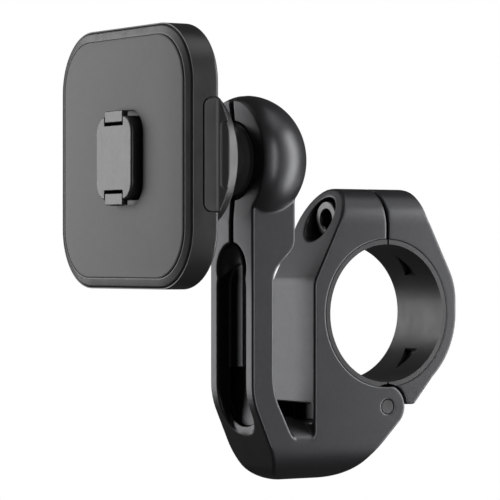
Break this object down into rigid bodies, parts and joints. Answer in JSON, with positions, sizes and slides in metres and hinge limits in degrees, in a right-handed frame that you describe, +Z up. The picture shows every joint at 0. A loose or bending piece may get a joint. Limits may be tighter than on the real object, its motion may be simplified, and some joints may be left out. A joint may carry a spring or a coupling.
{
  "type": "handlebar phone mount",
  "caption": "Handlebar phone mount with a hinged bar clamp, a forked arm, a ball joint and a rounded square plate with a sprung release latch.",
  "frame": {"origin": "centre of the handlebar bore, on the bar's axis at the middle of the clamp's width", "axes": "+X along the handlebar, -Y the way the phone plate faces, +Z up"},
  "size_m": [0.0596, 0.0878, 0.1016],
  "materials": {
    "anodised_metal": "black satin anodised",
    "liner_plastic": "matte",
    "black_steel": "black oxide",
    "bright_steel": "plain",
    "ball_metal": "polished black anodised",
    "shell_plastic": "satin",
    "pad_rubber": "soft matte",
    "latch_metal": "grey satin",
    "magnet_nickel": "nickel plated",
    "button_plastic": "satin"
  },
  "bodies": {
    "mount_arm": {"arm_body": "anodised_metal", "front_liner": "liner_plastic", "hinge_pin": "black_steel", "tension_washer": "bright_steel"},
    "tension_screw": {"tension_bolt": "black_steel"},
    "rear_half": {"rear_clamp": "anodised_metal", "rear_liner": "liner_plastic", "thread_insert": "bright_steel"},
    "screw_carrier": {"clamp_washer": "bright_steel"},
    "clamp_screw": {"clamp_bolt": "black_steel"},
    "ball_pan": {"socket_cup": "liner_plastic"},
    "ball_tilt": {"ball_stud": "ball_metal", "retaining_screw": "bright_steel", "spin_washer": "liner_plastic"},
    "phone_plate": {"back_hub": "shell_plastic", "rear_shell": "shell_plastic", "front_frame": "shell_plastic", "face_pad": "pad_rubber", "latch_boss": "latch_metal", "magnets": "magnet_nickel", "shell_screws": "black_steel", "button_springs_right": "bright_steel", "button_springs_left": "bright_steel"},
    "right_button": {"button_right": "button_plastic", "release_link_right": "bright_steel"},
    "left_button": {"button_left": "button_plastic", "release_link_left": "bright_steel"},
    "top_pawl": {"pawl_top": "latch_metal"},
    "bottom_pawl": {"pawl_bottom": "latch_metal"}
  },
  "joints": [
    {"name": "clamp_opening", "type": "hinge", "parent": "mount_arm", "child": "rear_half", "pos_m": [0, 0.0002, -0.0216], "axis": [-1, 0, 0], "range_deg": [0, 65]},
    {"name": "screw_travel", "type": "slide", "parent": "mount_arm", "child": "screw_carrier", "axis": [0, -1, 0], "range_m": [0, 0.0066]},
    {"name": "clamp_screw_turn", "type": "hinge", "parent": "screw_carrier", "child": "clamp_screw", "pos_m": [0, 0, 0.0217], "axis": [0, 1, 0], "continuous": true},
    {"name": "tension_screw_turn", "type": "hinge", "parent": "mount_arm", "child": "tension_screw", "pos_m": [0, -0.031, 0.0186], "axis": [1, 0, 0], "continuous": true},
    {"name": "ball_pan_turn", "type": "hinge", "parent": "mount_arm", "child": "ball_pan", "pos_m": [0, -0.033, 0.03475], "axis": [0, 0, 1], "range_deg": [-16, 16]},
    {"name": "ball_tilt_turn", "type": "hinge", "parent": "ball_pan", "child": "ball_tilt", "pos_m": [0, -0.033, 0.03475], "axis": [1, 0, 0], "range_deg": [-16, 16]},
    {"name": "plate_spin", "type": "hinge", "parent": "ball_tilt", "child": "phone_plate", "pos_m": [0, -0.033, 0.03475], "axis": [0, 1, 0], "continuous": true},
    {"name": "button_right_press", "type": "slide", "parent": "phone_plate", "child": "right_button", "axis": [-1, 0, 0], "range_m": [0, 0.0015], "stiffness_N_per_m": 800, "springref_m": -0.001, "deforming": ["button_springs_right"]},
    {"name": "button_left_press", "type": "slide", "parent": "phone_plate", "child": "left_button", "axis": [1, 0, 0], "range_m": [0, 0.0015], "deforming": ["button_springs_left"]},
    {"name": "pawl_top_travel", "type": "slide", "parent": "phone_plate", "child": "top_pawl", "axis": [0, 0, -1], "range_m": [0, 0.0006]},
    {"name": "pawl_bottom_travel", "type": "slide", "parent": "phone_plate", "child": "bottom_pawl", "axis": [0, 0, 1], "range_m": [0, 0.0006]}
  ],
  "couplings": [
    {"joint": "screw_travel", "follows": "clamp_opening", "m_per_rad": 0.0058},
    {"joint": "button_left_press", "follows": "button_right_press", "ratio": 1},
    {"joint": "pawl_top_travel", "follows": "button_right_press", "ratio": 0.4},
    {"joint": "pawl_bottom_travel", "follows": "button_right_press", "ratio": 0.4}
  ]
}
